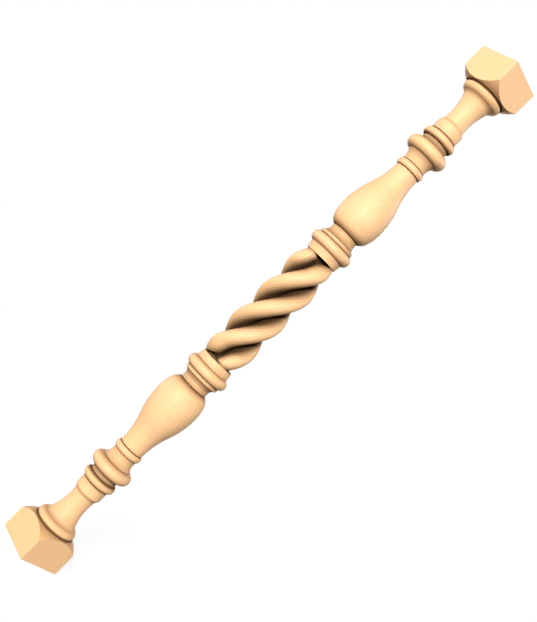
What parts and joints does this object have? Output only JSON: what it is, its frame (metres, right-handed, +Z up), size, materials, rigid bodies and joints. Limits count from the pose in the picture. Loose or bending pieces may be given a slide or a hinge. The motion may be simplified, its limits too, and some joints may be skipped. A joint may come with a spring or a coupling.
{
  "type": "stair baluster",
  "caption": "Upright wooden stair baluster with a square block at each end, turned vases, beads and coves, and a carved rope twist in the middle; it fills in under a handrail.",
  "frame": {"origin": "middle of the foot's flat underside", "axes": "+Z up along the baluster's axis, from the foot to the head; X and Y square to the flats of the end blocks"},
  "size_m": [0.0676, 0.0676, 0.9],
  "materials": {
    "wood": "satin"
  },
  "bodies": {
    "root": {"baluster": "wood"}
  },
  "joints": []
}
